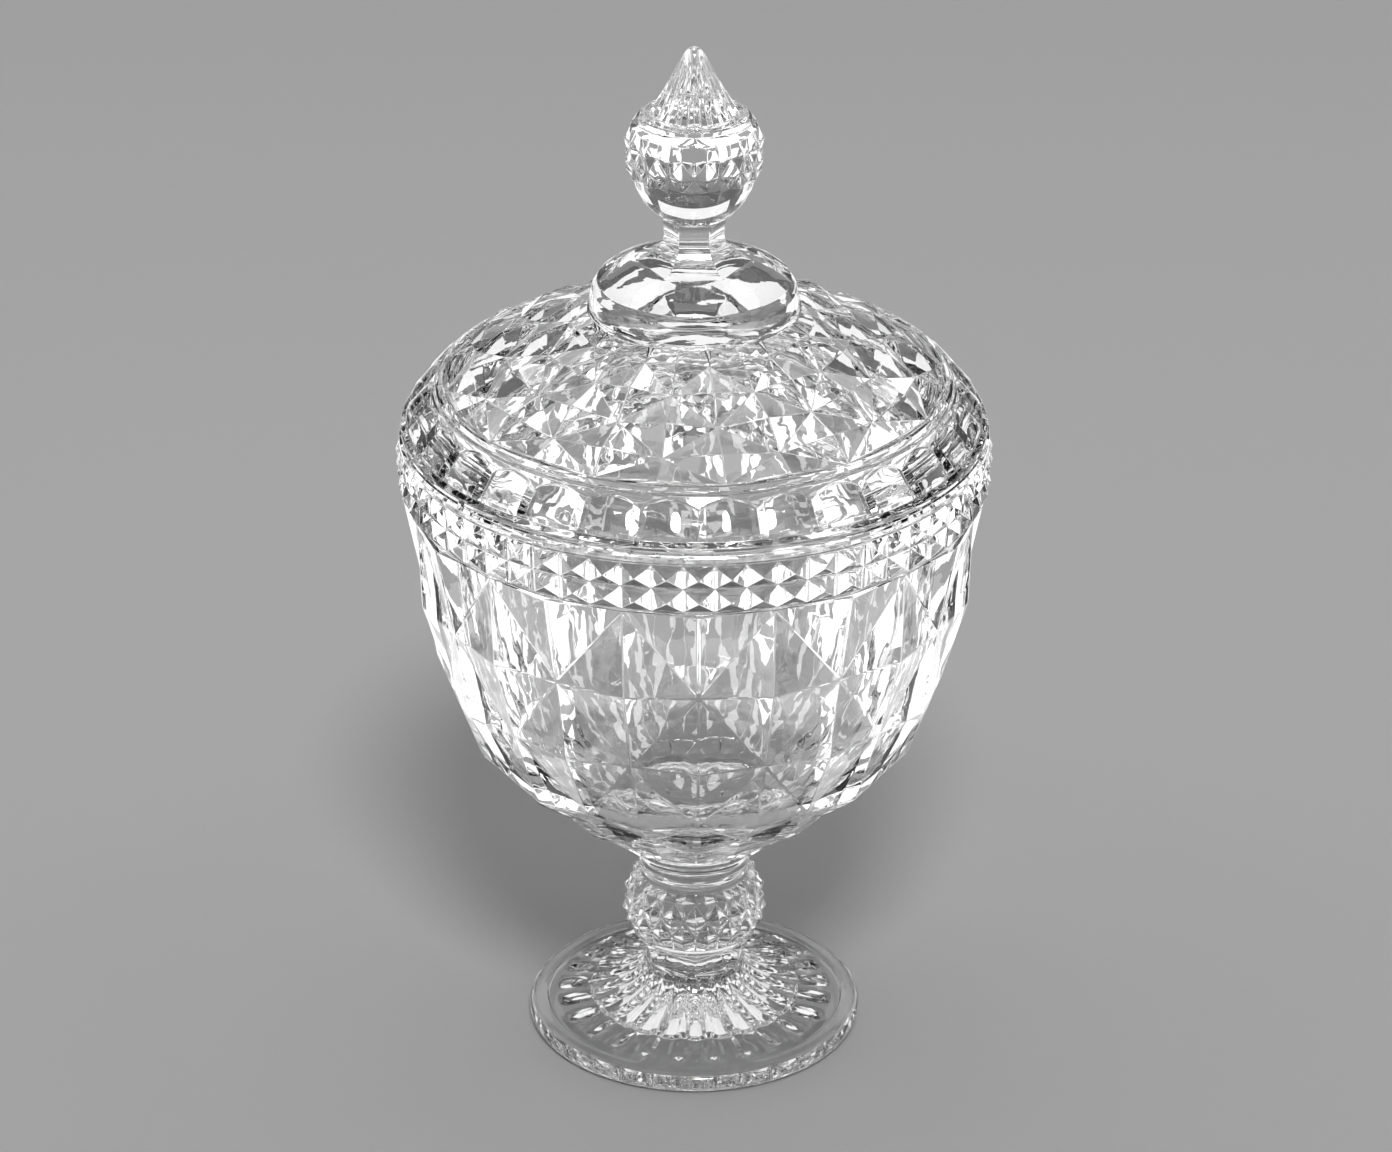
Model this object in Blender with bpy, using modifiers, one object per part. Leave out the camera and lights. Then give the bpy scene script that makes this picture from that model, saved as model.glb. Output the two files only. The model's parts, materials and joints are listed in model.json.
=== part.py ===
"""A footed glass jar with a domed lid, in five turned pieces of clear pressed glass.

Metres, +Z up. The origin is the centre of the ring that the foot stands on, and every height is
measured from there. The foot, stem and bowl make the jar. The lid and its finial lift off together.
"""
import math

import bpy

# Driving dimensions
MILLIMETRE = 0.001
GAP = 0.3 * MILLIMETRE
FOOT_RADIUS = 44.2 * MILLIMETRE
FOOT_EDGE = 5.8 * MILLIMETRE
NECK_HEIGHT = 18.8 * MILLIMETRE
NECK_RADIUS = 12.0 * MILLIMETRE
KNOP_HEIGHT = 32.0 * MILLIMETRE
KNOP_RADIUS = 19.0 * MILLIMETRE
WAIST_HEIGHT = 46.5 * MILLIMETRE
WAIST_RADIUS = 14.0 * MILLIMETRE
BOWL_RADIUS = 75.6 * MILLIMETRE
BOWL_FLOOR = 65.0 * MILLIMETRE
RIM_HEIGHT = 173.2 * MILLIMETRE
WALL = 6.0 * MILLIMETRE
RING_DEPTH = 6.5 * MILLIMETRE
RING_CLEARANCE = 0.7 * MILLIMETRE
RING_WALL = 4.5 * MILLIMETRE
BEAD_RADIUS = 65.0 * MILLIMETRE
BEAD_HEIGHT = 187.0 * MILLIMETRE
BUTTON_RADIUS = 26.4 * MILLIMETRE
BUTTON_HEIGHT = 206.8 * MILLIMETRE
BALL_RADIUS = 16.6 * MILLIMETRE
BALL_HEIGHT = 249.5 * MILLIMETRE
TIP_HEIGHT = 276.6 * MILLIMETRE

WIDE_STEPS = 48
NARROW_STEPS = 24
FULL_TURN = math.radians(360)
CLEAR_GLASS = (0.93, 0.95, 0.95, 1.0)
GLASS_ROUGHNESS = 0.03
GLASS_IOR = 1.52


def clear_scene():
    """Remove whatever the file opened with."""
    for thing in list(bpy.data.objects):
        bpy.data.objects.remove(thing, do_unlink=True)


def new_collection(name):
    """A collection linked to the scene."""
    collection = bpy.data.collections.new(name)
    bpy.context.scene.collection.children.link(collection)
    return collection


def clear_glass(name):
    """Colourless, fire-polished glass."""
    material = bpy.data.materials.new(name)
    material.use_nodes = True
    shader = material.node_tree.nodes["Principled BSDF"]
    shader.inputs["Base Color"].default_value = CLEAR_GLASS
    shader.inputs["Roughness"].default_value = GLASS_ROUGHNESS
    shader.inputs["Metallic"].default_value = 0.0
    shader.inputs["IOR"].default_value = GLASS_IOR
    shader.inputs["Transmission Weight"].default_value = 1.0
    return material


def mm(radius, height):
    """A point (radius, height) given in millimetres."""
    return (radius * MILLIMETRE, height * MILLIMETRE)


def curve(start, first_handle, second_handle, end, spans):
    """Points (radius, height) along a cubic curve, without its start point."""
    points = []
    for i in range(1, spans + 1):
        t = i / spans
        weights = ((1 - t) ** 3, 3 * (1 - t) ** 2 * t, 3 * (1 - t) * t ** 2, t ** 3)
        knots = (start, first_handle, second_handle, end)
        radius = sum(w * knot[0] for w, knot in zip(weights, knots))
        height = sum(w * knot[1] for w, knot in zip(weights, knots))
        points.append((radius, height))
    return points


def arc(centre, radius, from_angle, to_angle, spans):
    """Points (radius, height) on a round stretch; 0 degrees points outwards and 90 points up."""
    points = []
    for i in range(spans + 1):
        angle = math.radians(from_angle + (to_angle - from_angle) * i / spans)
        points.append((centre[0] + radius * math.cos(angle), centre[1] + radius * math.sin(angle)))
    return points


def turned(name, outline, steps, collection):
    """One closed piece from an outline that runs from the axis, down its outer side, to the axis."""
    mesh = bpy.data.meshes.new(name)
    vertices = [(radius, 0.0, height) for radius, height in outline]
    edges = [(i, i + 1) for i in range(len(outline) - 1)]
    mesh.from_pydata(vertices, edges, [])
    piece = bpy.data.objects.new(name, mesh)
    collection.objects.link(piece)
    piece.data.materials.append(clear_glass(name + "_glass"))
    screw = piece.modifiers.new("turn", "SCREW")
    screw.axis = "Z"
    screw.angle = FULL_TURN
    screw.steps = steps
    screw.render_steps = steps
    screw.use_merge_vertices = True
    screw.merge_threshold = 0.00001
    screw.use_smooth_shade = True
    return piece


def foot_outline():
    """A flat plate with a rounded edge, a dished top that rises to the neck, and a hollow below."""
    edge = FOOT_EDGE / 2
    step = FOOT_RADIUS - 5.0 * MILLIMETRE
    dome = (27.6 * MILLIMETRE, FOOT_EDGE + 0.6 * MILLIMETRE)
    neck = (NECK_RADIUS, NECK_HEIGHT - GAP)
    rest_ring = FOOT_RADIUS - 6.5 * MILLIMETRE
    points = [(0.0, neck[1]), neck]
    points += curve(neck, mm(13.0, 12.5), mm(19.0, 9.2), dome, 5)
    points += [(step, FOOT_EDGE - 0.8 * MILLIMETRE), (step, FOOT_EDGE)]
    points += arc((FOOT_RADIUS - edge, edge), edge, 90, -90, 6)
    points += [(rest_ring, 0.0)]
    hollow = (0.0, 6.0 * MILLIMETRE)
    shallow = 1.6 * MILLIMETRE
    points += curve(points[-1], (rest_ring - shallow, shallow), (NECK_RADIUS, shallow * 3), hollow, 5)
    return points


def stem_outline():
    """A flared collar, a round knop and a waist, solid throughout."""
    collar = (NECK_RADIUS, NECK_HEIGHT)
    collar_top = (NECK_RADIUS + 1.4 * MILLIMETRE, NECK_HEIGHT + 5.4 * MILLIMETRE)
    waist = (WAIST_RADIUS, WAIST_HEIGHT)
    waist_foot = (WAIST_RADIUS - 0.4 * MILLIMETRE, WAIST_HEIGHT - 2.6 * MILLIMETRE)
    knop = (KNOP_RADIUS, KNOP_HEIGHT)
    reach = 6.0 * MILLIMETRE
    points = [(0.0, WAIST_HEIGHT), waist, waist_foot]
    above = (KNOP_RADIUS, KNOP_HEIGHT + reach)
    below = (KNOP_RADIUS, KNOP_HEIGHT - reach / 2)
    points += curve(waist_foot, (KNOP_RADIUS, WAIST_HEIGHT - reach), above, knop, 4)
    points += curve(knop, below, (KNOP_RADIUS, collar_top[1] + reach / 3), collar_top, 4)
    points += [collar, (0.0, NECK_HEIGHT)]
    return points


def bowl_outline():
    """From the floor of the inside, up the inner wall, over the rim and down the outer wall."""
    floor = (0.0, BOWL_FLOOR)
    mouth = (BOWL_RADIUS - WALL, RIM_HEIGHT)
    inner_floor_handle = (58.0 * MILLIMETRE, BOWL_FLOOR)
    inner_wall_handle = mm(67.5, 104.0)
    shoulder = (BOWL_RADIUS, RIM_HEIGHT - 5.0 * MILLIMETRE)
    outer_wall_handle = mm(72.9, 130.0)
    outer_base_handle = mm(71.3, 75.0)
    base = mm(20.0, 56.5)
    seat = (WAIST_RADIUS, WAIST_HEIGHT + GAP)
    points = [floor]
    points += curve(floor, inner_floor_handle, inner_wall_handle, mouth, 12)
    points += [(BOWL_RADIUS - 0.7 * MILLIMETRE, RIM_HEIGHT), shoulder]
    points += curve(shoulder, outer_wall_handle, outer_base_handle, base, 14)
    points += curve(base, mm(16.5, 55.0), (WAIST_RADIUS, 51.0 * MILLIMETRE), seat, 3)
    points += [(0.0, WAIST_HEIGHT + GAP)]
    return points


def lid_outline():
    """From the crown, down the outside to the edge, across the seat, and up inside the dome."""
    seat = RIM_HEIGHT + GAP
    crown = (BUTTON_RADIUS + 0.5 * MILLIMETRE, BUTTON_HEIGHT - GAP)
    edge = (BOWL_RADIUS - 0.7 * MILLIMETRE, seat)
    ring_outer = BOWL_RADIUS - WALL - RING_CLEARANCE
    ring_inner = ring_outer - RING_WALL
    bead_foot = (BEAD_RADIUS + 1.0 * MILLIMETRE, BEAD_HEIGHT - 2.0 * MILLIMETRE)
    edge_top = (edge[0], seat + 2.0 * MILLIMETRE)
    bulge = mm(72.0, 180.0)
    hollow_edge = mm(60.5, 182.5)
    hollow_crown = mm(24.0, 201.2)
    points = [(0.0, crown[1]), crown]
    points += curve(crown, mm(40.0, 200.6), mm(52.0, 194.2),
                    (BEAD_RADIUS - 1.4 * MILLIMETRE, BEAD_HEIGHT - 0.6 * MILLIMETRE), 6)
    points += [(BEAD_RADIUS, BEAD_HEIGHT), bead_foot]
    points += curve(bead_foot, bulge, (edge[0], 178.0 * MILLIMETRE), edge_top, 4)
    points += [edge, (ring_outer, seat), (ring_outer, seat - RING_DEPTH), (ring_inner, seat - RING_DEPTH)]
    points += curve(points[-1], (ring_inner, 176.0 * MILLIMETRE), mm(63.5, 181.0),
                    hollow_edge, 3)
    points += curve(hollow_edge, mm(50.0, 189.5), mm(36.0, 196.5),
                    hollow_crown, 4)
    points += [(0.0, hollow_crown[1] + 1.2 * MILLIMETRE)]
    return points


def finial_outline():
    """A button, a neck, a ball and a cone, solid throughout."""
    shoulder = mm(13.6, 258.9)
    cone_foot = mm(10.4, 259.6)
    cone_top = mm(2.3, 275.3)
    neck_radius = 7.5 * MILLIMETRE
    neck_top = (neck_radius, 227.0 * MILLIMETRE)
    neck_foot = (neck_radius + 0.4 * MILLIMETRE, 223.8 * MILLIMETRE)
    flare = mm(11.5, 220.3)
    button_edge = 2.6 * MILLIMETRE
    ball = (BALL_RADIUS, BALL_HEIGHT)
    reach = 5.0 * MILLIMETRE
    rounded_tip = (cone_top[0] / 2, TIP_HEIGHT - 0.3 * MILLIMETRE)
    above = (BALL_RADIUS, BALL_HEIGHT + reach / 2)
    points = [(0.0, TIP_HEIGHT), rounded_tip, cone_top, cone_foot, shoulder]
    points += curve(shoulder, (BALL_RADIUS, shoulder[1] - reach / 2), above, ball, 3)
    underside = (BALL_RADIUS + 0.9 * MILLIMETRE, BALL_HEIGHT - reach * 2)
    points += curve(ball, underside, (neck_radius + 2.0 * MILLIMETRE, neck_top[1] + reach * 1.6), neck_top, 6)
    points += [neck_foot, flare]
    points += curve(flare, mm(19.0, 218.6), mm(25.0, 215.0),
                    (BUTTON_RADIUS, BUTTON_HEIGHT + button_edge * 1.5), 4)
    points += [(BUTTON_RADIUS, BUTTON_HEIGHT + button_edge / 2)]
    points += [(BUTTON_RADIUS - 0.8 * MILLIMETRE, BUTTON_HEIGHT)]
    points += [(0.0, BUTTON_HEIGHT)]
    return points


def build():
    """Model the five pieces, resting on each other."""
    clear_scene()
    jar = new_collection("lidded_glass_jar")
    turned("foot", foot_outline(), WIDE_STEPS, jar)
    turned("stem", stem_outline(), NARROW_STEPS, jar)
    turned("bowl", bowl_outline(), WIDE_STEPS, jar)
    turned("lid", lid_outline(), WIDE_STEPS, jar)
    turned("finial", finial_outline(), NARROW_STEPS, jar)


build()
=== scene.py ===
import json
import math

import bmesh
import bpy
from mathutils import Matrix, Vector

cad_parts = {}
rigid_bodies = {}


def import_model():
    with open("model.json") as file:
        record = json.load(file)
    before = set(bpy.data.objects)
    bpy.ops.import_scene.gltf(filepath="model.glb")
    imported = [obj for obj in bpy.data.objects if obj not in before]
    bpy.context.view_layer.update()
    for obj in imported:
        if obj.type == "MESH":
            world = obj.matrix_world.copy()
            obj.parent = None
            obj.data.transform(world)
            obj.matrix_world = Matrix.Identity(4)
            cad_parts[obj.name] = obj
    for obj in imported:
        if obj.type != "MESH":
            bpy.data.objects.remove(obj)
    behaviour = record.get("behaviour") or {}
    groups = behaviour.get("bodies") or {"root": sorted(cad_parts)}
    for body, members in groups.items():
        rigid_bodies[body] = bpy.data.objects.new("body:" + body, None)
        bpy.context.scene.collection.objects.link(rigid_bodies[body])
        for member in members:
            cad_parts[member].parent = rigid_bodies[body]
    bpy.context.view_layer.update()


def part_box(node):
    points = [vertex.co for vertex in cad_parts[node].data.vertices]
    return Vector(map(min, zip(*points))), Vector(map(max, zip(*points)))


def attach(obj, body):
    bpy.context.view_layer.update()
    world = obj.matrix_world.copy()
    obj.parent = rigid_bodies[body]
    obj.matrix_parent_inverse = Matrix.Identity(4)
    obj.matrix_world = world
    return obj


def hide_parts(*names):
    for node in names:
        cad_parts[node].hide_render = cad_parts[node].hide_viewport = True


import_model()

# ---------------------------------------------------------------------------------------------
# Inside of the bowl. The jar is one casting of clear glass, and its skin is followed from the
# middle of the bowl's floor, up the plain inner wall, over the rim and down the cut outside.
# ---------------------------------------------------------------------------------------------
MM = 0.001
ROUND = 120
FLOOR = 65.0
MOUTH = 69.6
RIM = 173.2


def front_angle(point):
    """Degrees round from the front of the jar, positive to its right."""
    return math.degrees(math.atan2(point.x, -point.y))


def choose(test):
    """Select only the vertices in sight that pass the test."""
    bpy.ops.mesh.select_all(action="DESELECT")
    shape = bmesh.from_edit_mesh(bpy.context.object.data)
    for vertex in shape.verts:
        if not vertex.hide and test(vertex):
            vertex.select_set(True)
    shape.select_flush_mode()
    bmesh.update_edit_mesh(bpy.context.object.data)


def choose_open_ring(extend=False):
    """Select the ring that the glass ends in so far."""
    bpy.ops.mesh.select_non_manifold(extend=extend, use_wire=False, use_boundary=True,
                                     use_multi_face=False, use_non_contiguous=False, use_verts=False)


def start_glass(name, sides, radius, height, turn=0.0):
    """A new glass starts as a small disc, and the rest is drawn out of its edge."""
    bpy.ops.object.select_all(action="DESELECT")
    bpy.ops.mesh.primitive_circle_add(vertices=sides, radius=radius * MM, fill_type="TRIFAN",
                                      location=(0, 0, height * MM), rotation=(0, 0, math.radians(turn)))
    bpy.ops.object.transform_apply(location=True, rotation=True, scale=True)
    glass = bpy.context.object
    glass.name = name
    glass.data.name = name
    bpy.ops.object.mode_set(mode="EDIT")
    bpy.ops.mesh.select_mode(type="VERT")
    return glass


def ring(*places, turn=0.0):
    """Draw the open edge out to a new ring, whose places (radius, height) repeat round it."""
    choose_open_ring()
    bpy.ops.mesh.extrude_edges_move()
    shape = bmesh.from_edit_mesh(bpy.context.object.data)
    shape.verts.index_update()
    drawn = {vertex.index: front_angle(vertex.co) - turn for vertex in shape.verts if vertex.select}
    for number, (radius, height) in enumerate(places):
        column = {index for index, angle in drawn.items() if round(angle * len(drawn) / 360) % len(places) == number}
        choose(lambda vertex: vertex.index in column)
        shape = bmesh.from_edit_mesh(bpy.context.object.data)
        first = next(vertex.co for vertex in shape.verts if vertex.select)
        grow = radius * MM / math.hypot(first.x, first.y)
        rise = height * MM - first.z
        bpy.ops.transform.resize(value=(grow, grow, 1), center_override=(0, 0, 0))
        bpy.ops.transform.translate(value=(0, 0, rise))


def change_sides(sides, radius, height, turn=0.0):
    """Go on with another number of sides: a new ring is laid and bridged to the open edge."""
    bpy.ops.mesh.primitive_circle_add(vertices=sides, radius=radius * MM, fill_type="NOTHING",
                                      location=(0, 0, height * MM), rotation=(0, 0, math.radians(turn)))
    choose_open_ring(extend=True)
    bpy.ops.mesh.bridge_edge_loops()


def set_aside():
    """Hide what is finished, all but the open ring, so that the next cut can't reach it."""
    choose_open_ring()
    bpy.ops.mesh.hide(unselected=True)


def bend(start, first_pull, second_pull, end, steps):
    """Places (radius, height) along a smooth curve that is pulled towards two points."""
    places = []
    for i in range(1, steps + 1):
        t = i / steps
        weights = ((1 - t) ** 3, 3 * (1 - t) ** 2 * t, 3 * (1 - t) * t ** 2, t ** 3)
        knots = (start, first_pull, second_pull, end)
        places.append(tuple(sum(w * knot[axis] for w, knot in zip(weights, knots)) for axis in (0, 1)))
    return places


TURN = 0.9
jar = start_glass("jar_glass", ROUND, 3.0, FLOOR, TURN)
for place in bend((3.0, FLOOR), (58.0, FLOOR), (67.5, 104.0), (MOUTH, RIM - 0.6), 18):
    ring(place)
ring((MOUTH + 0.6, RIM))

# ---------------------------------------------------------------------------------------------
# Rim and stud band. Under the plain lip stand two rows of sixty square studs, each pressed to a
# point, with narrow channels between them.
# ---------------------------------------------------------------------------------------------
LIP = 75.4
BAND_TOP = 170.4
BAND_MIDDLE = 164.0
BAND_FOOT = 157.5
BAND_RADIUS = 74.4
CHANNEL = 0.5
STUD_STEP = 0.45
STUD_POINT = 1.5


def choose_edges(test):
    """Select only the edges that pass the test, in edge mode."""
    bpy.ops.mesh.select_mode(type="EDGE")
    bpy.ops.mesh.select_all(action="DESELECT")
    shape = bmesh.from_edit_mesh(bpy.context.object.data)
    for edge in shape.edges:
        if test(edge):
            edge.select_set(True)
    bmesh.update_edit_mesh(bpy.context.object.data)


def choose_faces(test):
    """Select only the faces that pass the test, in face mode."""
    bpy.ops.mesh.select_mode(type="FACE")
    bpy.ops.mesh.select_all(action="DESELECT")
    shape = bmesh.from_edit_mesh(bpy.context.object.data)
    for face in shape.faces:
        if test(face):
            face.select_set(True)
    bmesh.update_edit_mesh(bpy.context.object.data)


def middle_of_stud(edge):
    """Whether an upright edge of the band runs down the middle of a stud."""
    one, other = edge.verts
    upright = abs(front_angle(one.co) - front_angle(other.co)) < 0.5
    within = BAND_FOOT - 0.1 < min(one.co.z, other.co.z) / MM and max(one.co.z, other.co.z) / MM < BAND_TOP + 0.1
    outside = math.hypot(one.co.x, one.co.y) > (BAND_RADIUS - 1.5) * MM
    column = round((front_angle(one.co) - TURN) * ROUND / 360)
    return upright and within and outside and column % 2 == 0


def on_band(face):
    """Whether a face is one of the band's studs."""
    middle = face.calc_center_median()
    outside = math.hypot(middle.x, middle.y) > (BAND_RADIUS - 1.5) * MM
    return outside and BAND_FOOT < middle.z / MM < BAND_TOP


ring((LIP - 0.7, RIM))
ring((LIP, RIM - 0.8))
ring((LIP, RIM - 1.9))
ring((BAND_RADIUS + 0.3, BAND_TOP))
ring((BAND_RADIUS + 0.1, BAND_MIDDLE))
ring((BAND_RADIUS - 0.4, BAND_FOOT))
choose_edges(middle_of_stud)
bpy.ops.mesh.dissolve_edges(use_verts=False)
choose_faces(on_band)
bpy.ops.mesh.inset(thickness=CHANNEL * MM, depth=STUD_STEP * MM, use_individual=True)
bpy.ops.mesh.poke(offset=STUD_POINT * MM)
bpy.ops.mesh.select_mode(type="VERT")

# ---------------------------------------------------------------------------------------------
# Cut wall of the bowl. Twelve columns of tall diamonds, each a low four-sided point, meet along
# mitred grooves; where four diamonds touch, the grooves and ridges make an eight-rayed star.
# ---------------------------------------------------------------------------------------------
HALF_DIAMONDS = 24
DIAMOND_LIFT = 1.6
MITRE = 0.55
GROOVE = 1.3
BOWL_ROWS = ((73.9, 156.2, 0), (71.4, 131.5, 8), (66.2, 108.3, 24), (56.4, 86.4, 37),
             (46.2, 76.2, 47), (36.6, 67.6, 58), (28.2, 61.6, 68))
BOWL_END = (20.5, 57.4)


def cut_diamonds(rows, lift, first_is_star, turn, rounding, end):
    """Rows (radius, height, lean) of stars with raised points between them, split along the grooves.

    Lean is how far the wall there faces below the level, in degrees, and end is the plain ring after.
    """
    set_aside()
    stars = []
    for row, (radius, height, lean) in enumerate(rows):
        up = lift * min(1.0, radius / rows[1][0] + 0.2)
        point = (radius + up * math.cos(math.radians(lean)), height - up * math.sin(math.radians(lean)))
        star_leads = first_is_star == (row % 2 == 0)
        ring(*(((radius, height), point) if star_leads else (point, (radius, height))), turn=turn)
        stars.append((radius, height))
    ring(end, end, turn=turn)

    def is_star(vertex):
        out, up = math.hypot(vertex.co.x, vertex.co.y) / MM, vertex.co.z / MM
        return any(math.hypot(out - star[0], up - star[1]) < 0.1 for star in stars)

    def is_cut(edge):
        middle = (edge.verts[0].co.z + edge.verts[1].co.z) / 2 / MM
        between = min(rows[0][1], end[1]) + 0.2 < middle < max(rows[0][1], end[1]) - 0.2
        return between and not edge.hide and edge.calc_face_angle(0) > math.radians(2)

    choose(is_star)
    bpy.ops.mesh.vert_connect()
    choose_edges(is_cut)
    bpy.ops.mesh.bevel(offset=rounding * MM, segments=2, affect="EDGES", clamp_overlap=True)
    bpy.ops.mesh.select_mode(type="VERT")
    bpy.ops.mesh.select_less()
    bpy.ops.transform.shrink_fatten(value=-rounding * GROOVE * MM)


change_sides(HALF_DIAMONDS, BOWL_ROWS[0][0] + 0.2, BOWL_ROWS[0][1] + 0.5, TURN)
cut_diamonds(BOWL_ROWS, DIAMOND_LIFT, False, TURN, MITRE, BOWL_END)

# ---------------------------------------------------------------------------------------------
# Stem. Below the bowl a thin ring marks the hot-joined waist; then come a round knop covered in
# eighteen small diamonds a row, and a six-sided collar that stands corner first on the foot.
# ---------------------------------------------------------------------------------------------
WAIST_SIDES = 72
HALF_KNOP_DIAMONDS = 36
KNOP_ROWS = ((16.0, 41.2, -30), (18.0, 37.1, -12), (18.3, 32.1, 5))
KNOP_END = (16.9, 27.4)
KNOP_LIFT = 1.45
KNOP_MITRE = 0.3
COLLAR_TOP = (14.7, 24.2)
COLLAR_FOOT = (13.3, 18.2)

change_sides(WAIST_SIDES, 19.0, 56.2, TURN)
for place in bend((19.0, 56.2), (16.2, 54.0), (14.6, 51.0), (14.2, 48.6), 4):
    ring(place)
for place in ((14.7, 47.6), (14.7, 46.8), (14.1, 46.0), (13.5, 45.0), (13.7, 43.9)):
    ring(place)
change_sides(HALF_KNOP_DIAMONDS, 14.2, 43.2, TURN)
cut_diamonds(KNOP_ROWS, KNOP_LIFT, True, TURN, KNOP_MITRE, KNOP_END)
change_sides(WAIST_SIDES, 16.6, 26.7, TURN)
for place in bend((16.6, 26.7), (16.2, 25.6), (15.2, 25.0), (14.5, 24.8), 3):
    ring(place)
change_sides(6, COLLAR_TOP[0], COLLAR_TOP[1], TURN)
ring((COLLAR_TOP[0] - 0.6, COLLAR_TOP[1] - 1.6))
ring((COLLAR_FOOT[0], COLLAR_FOOT[1] + 1.6))
ring(COLLAR_FOOT)

# ---------------------------------------------------------------------------------------------
# Foot. Twenty-four rounded flutes run down the dome of the foot and out over its plate, inside a
# raised ring and a thick plain rim; underneath it stands on a flat ring round a shallow hollow.
# ---------------------------------------------------------------------------------------------
FOOT_SIDES = 192
FLUTE = (0.0, 0.0, 0.25, 0.8, 1.0, 0.8, 0.25, 0.0)
FLUTE_HEIGHT = 1.5
DOME_FOOT = (27.3, 7.8)
PLATE_STEP = (38.9, 5.0)
FOOT_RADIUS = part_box("foot")[1].x / MM
FOOT_EDGE = 5.8
EDGE_ROUND = FOOT_EDGE / 2


def fluted(place, share):
    """A ring of flutes at a place (radius, height), at a share of their full height."""
    radius, height = place
    ring(*[(radius, height + FLUTE_HEIGHT * share * rise) for rise in FLUTE], turn=TURN)


change_sides(FOOT_SIDES, 12.9, 17.4, TURN)
dome = bend((12.9, 17.4), (13.8, 12.6), (20.0, 9.8), DOME_FOOT, 8)
for step, place in enumerate(dome):
    fluted(place, min(0.9, 0.15 + step * 0.14))
fluted((27.9, 6.9), 0.35)
for radius, share in ((28.8, 0.8), (30.4, 1.0), (32.4, 1.05), (34.4, 0.9), (35.8, 0.55), (36.8, 0.0)):
    fluted((radius, 6.7 - (radius - 28.8) * 0.12), share)
for place in ((38.2, PLATE_STEP[1] + 0.5), (38.9, PLATE_STEP[1] + 0.45), (39.5, FOOT_EDGE), (40.2, FOOT_EDGE + 0.05)):
    ring(place)
for step in range(11):
    angle = math.radians(90 - 18 * step)
    ring((FOOT_RADIUS - EDGE_ROUND + EDGE_ROUND * math.cos(angle), EDGE_ROUND + EDGE_ROUND * math.sin(angle)))
for place in bend((37.7, 0.0), (34.0, 2.6), (20.0, 4.4), (1.5, 4.8), 8):
    ring(place)


def close_glass(glass, softness):
    """Draw the last ring together into a point, and melt the remaining sharp edges a little."""
    choose_open_ring()
    bpy.ops.mesh.extrude_edges_move()
    bpy.ops.mesh.merge(type="CENTER")
    bpy.ops.mesh.reveal(select=False)
    bpy.ops.mesh.select_all(action="SELECT")
    bpy.ops.mesh.remove_doubles(threshold=0.01 * MM)
    bpy.ops.mesh.normals_make_consistent(inside=False)
    bpy.ops.object.mode_set(mode="OBJECT")
    melt = glass.modifiers.new("melt", "BEVEL")
    melt.limit_method = "ANGLE"
    melt.angle_limit = math.radians(16)
    melt.width = softness * MM
    melt.segments = 2
    melt.use_clamp_overlap = False
    bpy.ops.object.modifier_apply(modifier=melt.name)
    bpy.ops.object.shade_smooth()
    even = glass.modifiers.new("even", "WEIGHTED_NORMAL")
    bpy.ops.object.modifier_apply(modifier=even.name)


close_glass(jar, 0.16)
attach(jar, "jar_body")
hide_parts("foot", "stem", "bowl")

# ---------------------------------------------------------------------------------------------
# Lid, underside. A second casting, which lifts straight off: a plain hollow dome with a ring
# below its flange that drops inside the bowl's rim and keeps the lid in the middle.
# ---------------------------------------------------------------------------------------------
SEAT = 173.5
INNER_TOP = 205.2
RING_INSIDE = 64.2
RING_OUTSIDE = 68.8
RING_FOOT = 166.6
FLANGE = 74.9

lid = start_glass("lid_glass", ROUND, 3.0, INNER_TOP, TURN)
for place in bend((3.0, INNER_TOP), (15.0, 205.0), (24.0, 202.8), (33.0, 198.6), 6):
    ring(place)
for place in bend((33.0, 198.6), (43.0, 193.8), (52.0, 188.6), (60.5, 183.5), 5):
    ring(place)
for place in bend((60.5, 183.5), (63.0, 181.5), (RING_INSIDE, 178.0), (RING_INSIDE, 172.0), 5):
    ring(place)
ring((RING_INSIDE, RING_FOOT + 0.6))
ring((RING_INSIDE + 0.6, RING_FOOT))
ring((RING_OUTSIDE - 0.6, RING_FOOT))
ring((RING_OUTSIDE, RING_FOOT + 0.6))
ring((RING_OUTSIDE + 0.1, SEAT))
ring((FLANGE - 0.6, SEAT))
ring((FLANGE, SEAT + 0.6))
ring((FLANGE, SEAT + 1.5))
ring((FLANGE - 0.6, SEAT + 2.1))

# ---------------------------------------------------------------------------------------------
# Shoulder of the lid. Thirty upright scallops with arched tops stand round the slope between the
# flange and a plain rounded bead.
# ---------------------------------------------------------------------------------------------
SHOULDER_FOOT = (73.4, 176.4)
SHOULDER_TOP = (66.6, 184.6)
SHOULDER_LEAN = math.atan2(SHOULDER_FOOT[0] - SHOULDER_TOP[0], SHOULDER_TOP[1] - SHOULDER_FOOT[1])
SHOULDER_SIDES = 240
SCALLOP = ((-0.7, 0.78), (0.45, 0.87), (0.8, 0.94), (1.05, 0.985), (1.15, 1.0), (1.05, 0.985), (0.8, 0.94), (0.45, 0.87))
BEAD = ((66.3, 185.1), (65.9, 186.3), (65.0, 187.0), (64.1, 187.1), (63.4, 186.6))


def shoulder(share, swell, reach):
    """A place on the shoulder: how far up it, and how far the scallop swells out of it there."""
    up = share * reach
    radius = SHOULDER_FOOT[0] + (SHOULDER_TOP[0] - SHOULDER_FOOT[0]) * up
    height = SHOULDER_FOOT[1] + (SHOULDER_TOP[1] - SHOULDER_FOOT[1]) * up
    return radius + swell * math.cos(SHOULDER_LEAN), height + swell * math.sin(SHOULDER_LEAN)


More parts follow.
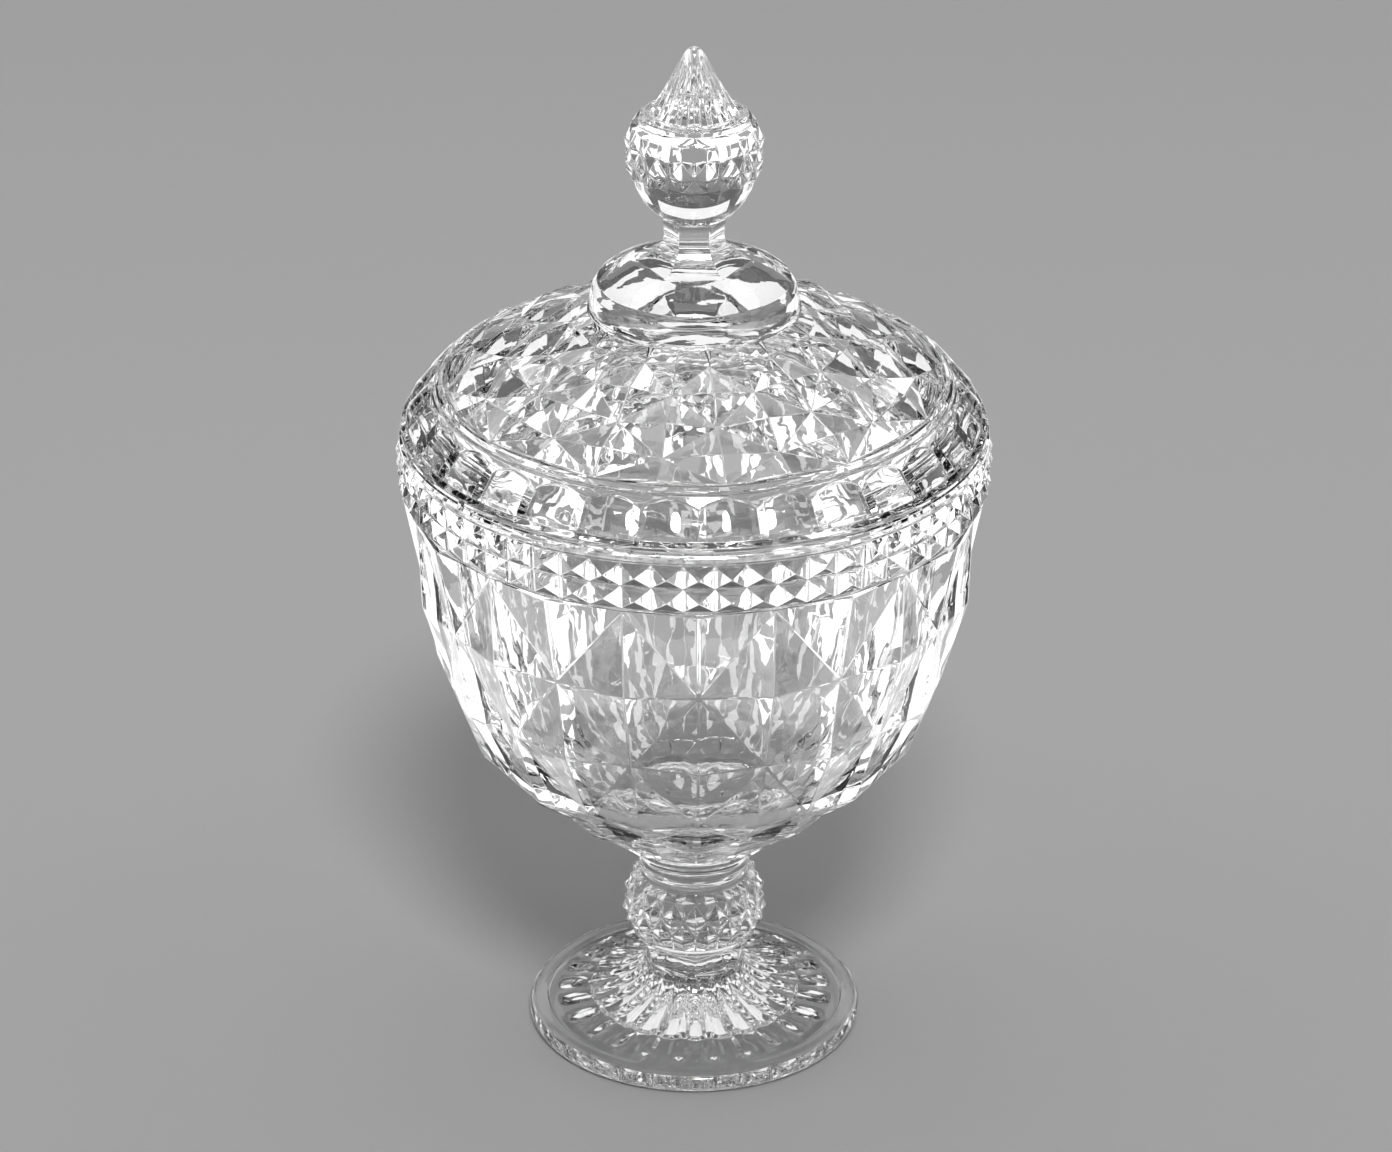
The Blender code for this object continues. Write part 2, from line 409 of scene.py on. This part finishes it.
change_sides(SHOULDER_SIDES, SHOULDER_FOOT[0], SHOULDER_FOOT[1] - 0.25, TURN)
for share, fullness in ((0.0, 0.0), (0.08, 0.7), (0.2, 1.0), (0.4, 1.0), (0.6, 1.0), (0.8, 0.95), (0.93, 0.7), (1.0, 0.0)):
    ring(*[shoulder(share, swell * fullness, reach) for swell, reach in SCALLOP], turn=TURN)
for place in BEAD:
    ring(*[place] * len(SCALLOP), turn=TURN)

# ---------------------------------------------------------------------------------------------
# Dome of the lid. Five rows of low diamonds, twelve round, close up towards the middle; they are
# cut half a step out of line with the bowl's.
# ---------------------------------------------------------------------------------------------
DOME_TURN = TURN + 6.0
DOME_LEAN = -62
DOME_RADII = (63.0, 56.2, 48.0, 39.4, 30.9)
DOME_DEPTH = 1.2
DOME_LIFT = 2.0
DOME_MITRE = 0.4
BUTTON_FOOT = 27.0


def dome_height(radius):
    """How high the outside of the lid stands at a distance from its middle."""
    return 218.27 - 0.393 * radius - 0.00156 * radius ** 2


dome_rows = [(radius, dome_height(radius) - DOME_DEPTH, DOME_LEAN) for radius in DOME_RADII]
change_sides(HALF_DIAMONDS, 63.2, 186.5, DOME_TURN)
cut_diamonds(dome_rows, DOME_LIFT, True, DOME_TURN, DOME_MITRE, (BUTTON_FOOT, dome_height(BUTTON_FOOT) - 0.4))

# ---------------------------------------------------------------------------------------------
# Finial. A smooth button on the dome carries a six-sided neck, a ball cut with sixteen small
# diamonds a row, and a pointed cone with fine ribs; the lid is lifted by it.
# ---------------------------------------------------------------------------------------------
BUTTON = ((26.6, 207.6), (26.5, 209.5), (26.0, 212.0), (24.6, 214.4), (22.0, 216.4), (18.5, 218.0), (15.8, 219.0))
NECK = ((12.6, 220.1), (11.2, 220.8), (9.6, 222.0), (8.0, 224.0), (7.6, 226.5), (7.8, 229.0), (8.6, 231.4))
HALF_BALL_DIAMONDS = 32
BALL_ROWS = ((15.4, 244.2, 15), (15.9, 247.8, 0), (15.9, 252.4, -5))
BALL_LIFT = 1.45
BALL_MITRE = 0.32
CONE = ((8.9, 262.5), (7.2, 265.8), (5.4, 269.3), (3.8, 272.4))
CONE_TIP = ((2.9, 274.2), (2.3, 275.3), (1.5, 276.2), (0.6, 276.55))
CONE_SIDES = 80
RIB = 0.45

change_sides(WAIST_SIDES, 26.9, 206.9)
for place in BUTTON:
    ring(place)
change_sides(6, 14.4, 219.4, 30)
for place in NECK:
    ring(place)
change_sides(HALF_BALL_DIAMONDS, 10.0, 232.9)
for place in ((12.0, 235.2), (13.4, 237.0), (14.6, 239.6), (15.1, 241.2)):
    ring(place)
cut_diamonds(BALL_ROWS, BALL_LIFT, False, 0.0, BALL_MITRE, (15.5, 255.9))
change_sides(WAIST_SIDES, 15.2, 256.8)
for place in ((14.4, 258.2), (13.6, 258.9), (12.7, 259.0), (11.4, 258.5), (10.5, 258.8)):
    ring(place)
change_sides(CONE_SIDES, 10.4, 259.2)
for step, (radius, height) in enumerate(((10.4, 259.8),) + CONE):
    rib = RIB * (1 - step / 4)
    ring((radius + rib, height), (radius, height), (radius - rib, height), (radius, height))
for place in CONE_TIP:
    ring(place, place, place, place)
close_glass(lid, 0.14)
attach(lid, "lid_body")
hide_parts("lid", "finial")

# ---------------------------------------------------------------------------------------------
# Glass itself. Both castings are colourless pressed glass, fire-polished, so that the skin is
# bright and smooth but flows a little, with faint draw lines and a few duller patches.
# ---------------------------------------------------------------------------------------------
GLASS_IOR = 1.52


class Wire:
    """An output of a material's node, which can be used in sums with numbers and other outputs."""

    def __init__(self, tree, socket=None):
        self.tree = tree
        self.socket = socket

    def node(self, kind, settings=None, output=0, **sockets):
        """Add a node of a kind, with its settings and the values or links of its sockets."""
        made = self.tree.nodes.new(kind)
        for name, value in (settings or {}).items():
            setattr(made, name, value)
        for name, value in sockets.items():
            socket = made.inputs[int(name[1:]) if name[0] == "n" and name[1:].isdigit() else name.replace("_", " ")]
            if isinstance(value, Wire):
                self.tree.links.new(value.socket, socket)
            else:
                socket.default_value = value
        return Wire(self.tree, made.outputs[output])

    def maths(self, operation, one, other):
        return self.node("ShaderNodeMath", {"operation": operation}, n0=one, n1=other)

    def __add__(self, other):
        return self.maths("ADD", self, other)

    def __radd__(self, other):
        return self.maths("ADD", other, self)

    def __sub__(self, other):
        return self.maths("SUBTRACT", self, other)

    def __rsub__(self, other):
        return self.maths("SUBTRACT", other, self)

    def __mul__(self, other):
        return self.maths("MULTIPLY", self, other)

    def __rmul__(self, other):
        return self.maths("MULTIPLY", other, self)


def pressed_glass(name, wave):
    """Clear glass whose skin swells and sinks gently; wave is how strong that is."""
    material = bpy.data.materials.new(name)
    material.use_nodes = True
    tree = material.node_tree
    shader = tree.nodes["Principled BSDF"]
    shader.inputs["Transmission Weight"].default_value = 1.0
    shader.inputs["IOR"].default_value = GLASS_IOR
    start = Wire(tree)
    place = start.node("ShaderNodeTexCoord", output="Object")
    drawn = start.node("ShaderNodeMapping", Vector=place, Scale=(1.0, 1.0, 0.45))
    swell = start.node("ShaderNodeTexNoise", Vector=drawn, Scale=55.0, Detail=1.0, Roughness=0.4, Distortion=0.6)
    ripple = start.node("ShaderNodeTexNoise", Vector=drawn, Scale=260.0, Detail=1.5, Roughness=0.5)
    up = start.node("ShaderNodeSeparateXYZ", output="Z", Vector=place)
    calm = start.node("ShaderNodeMapRange", {"clamp": True}, Value=up, From_Min=0.045, From_Max=0.07, To_Min=0.3,
                      To_Max=1.0)
    height = (swell + ripple * 0.12) * calm
    bump = start.node("ShaderNodeBump", Height=height, Strength=1.0, Distance=wave)
    tree.links.new(bump.socket, shader.inputs["Normal"])
    cloud = start.node("ShaderNodeTexNoise", Vector=place, Scale=40.0, Detail=3.0, Roughness=0.6)
    tree.links.new((cloud * 0.03).socket, shader.inputs["Roughness"])
    tint = start.node("ShaderNodeMix", {"data_type": "RGBA"}, output=2, Factor=cloud,
                      n6=(0.985, 0.985, 0.985, 1.0), n7=(0.955, 0.957, 0.957, 1.0))
    tree.links.new(tint.socket, shader.inputs["Base Color"])
    return material


jar.data.materials.append(pressed_glass("jar_clear_glass", 0.0005))
lid.data.materials.append(pressed_glass("lid_clear_glass", 0.0004))

# ---------------------------------------------------------------------------------------------
# Table and studio. The jar stands on a plain pale table between large soft lights, with dark
# walls beyond them that the facets pick up as black.
# ---------------------------------------------------------------------------------------------
bpy.ops.object.select_all(action="DESELECT")
bpy.ops.mesh.primitive_plane_add(size=6.0, location=(0, 0, 0))
table = bpy.context.object
table.name = "table"
table_top = bpy.data.materials.new("pale_table")
table_top.use_nodes = True
table_shader = table_top.node_tree.nodes["Principled BSDF"]
table_shader.inputs["Base Color"].default_value = (0.32, 0.32, 0.32, 1.0)
table_shader.inputs["Roughness"].default_value = 0.8
table.data.materials.append(table_top)

walls = bpy.data.worlds.new("dark_walls")
bpy.context.scene.world = walls
walls.use_nodes = True
walls.node_tree.nodes["Background"].inputs["Color"].default_value = (1.0, 1.0, 1.0, 1.0)
walls.node_tree.nodes["Background"].inputs["Strength"].default_value = 0.12


def softbox(name, size, location, aim, glow):
    """A large soft light that faces a point; glow is how bright its face is."""
    data = bpy.data.lights.new(name, "AREA")
    data.shape = "RECTANGLE"
    data.size = size[0]
    data.size_y = size[1]
    data.energy = glow * math.pi * size[0] * size[1]
    light = bpy.data.objects.new(name, data)
    bpy.context.scene.collection.objects.link(light)
    light.location = location
    light.rotation_euler = (Vector(aim) - Vector(location)).to_track_quat("-Z", "Y").to_euler()
    light.visible_camera = False


for side in (-1, 1):
    softbox("side_panel", (1.6, 0.5), (side * 1.0, 0.2, 0.5), (0, 0.1, 0.2), 1.1)
    for distance, width in ((0.085, 0.02), (0.17, 0.12), (0.32, 0.08), (0.5, 0.12)):
        softbox("table_bar", (width, 1.3), (side * distance, 0.4, 0.002), (side * distance, 0.4, 1.0), 1.2)
    softbox("table_card", (0.012, 0.34), (side * 0.03, 0.26, 0.002), (side * 0.03, 0.26, 1.0), 0.42)
for angle in range(0, 360, 30):
    across, along = 0.62 * math.sin(math.radians(angle)), 0.62 * math.cos(math.radians(angle))
    softbox("halo", (0.34, 0.3), (across, along, 1.15), (0, 0, 0.17), 1.3)
softbox("back_panel", (1.3, 0.35), (0.0, 1.1, 0.62), (0, 0, 0.3), 0.9)
softbox("foot_card", (0.034, 0.034), (0.0, 0.0, 0.001), (0, 0, 1.0), 0.8)
softbox("top_panel", (0.3, 0.3), (0.0, 0.1, 0.9), (0, 0.1, 0), 2.0)
softbox("front_strip", (0.5, 0.12), (0.0, -0.3, 0.002), (0, -0.3, 1.0), 2.5)

daylight = bpy.data.objects.new("daylight", bpy.data.lights.new("daylight", "SUN"))
bpy.context.scene.collection.objects.link(daylight)
daylight.data.energy = 2.1
daylight.data.angle = math.radians(14)
daylight.rotation_euler = (math.radians(40), 0, math.radians(6))

studio = bpy.context.scene
studio.view_settings.view_transform = "Standard"
studio.cycles.max_bounces = 24
studio.cycles.transmission_bounces = 24
studio.cycles.glossy_bounces = 7

# ---------------------------------------------------------------------------------------------
# Camera, looking down a little at the jar from the front through a long lens.
# ---------------------------------------------------------------------------------------------
eye = bpy.data.objects.new("camera", bpy.data.cameras.new("camera"))
bpy.context.scene.collection.objects.link(eye)
eye.location = (0.00045, -1.299, 0.782)
eye.rotation_euler = (math.radians(90 - 26.643), 0, 0)
eye.data.sensor_width = 36.0
eye.data.lens = 145.2
eye.data.dof.use_dof = False
bpy.context.scene.camera = eye
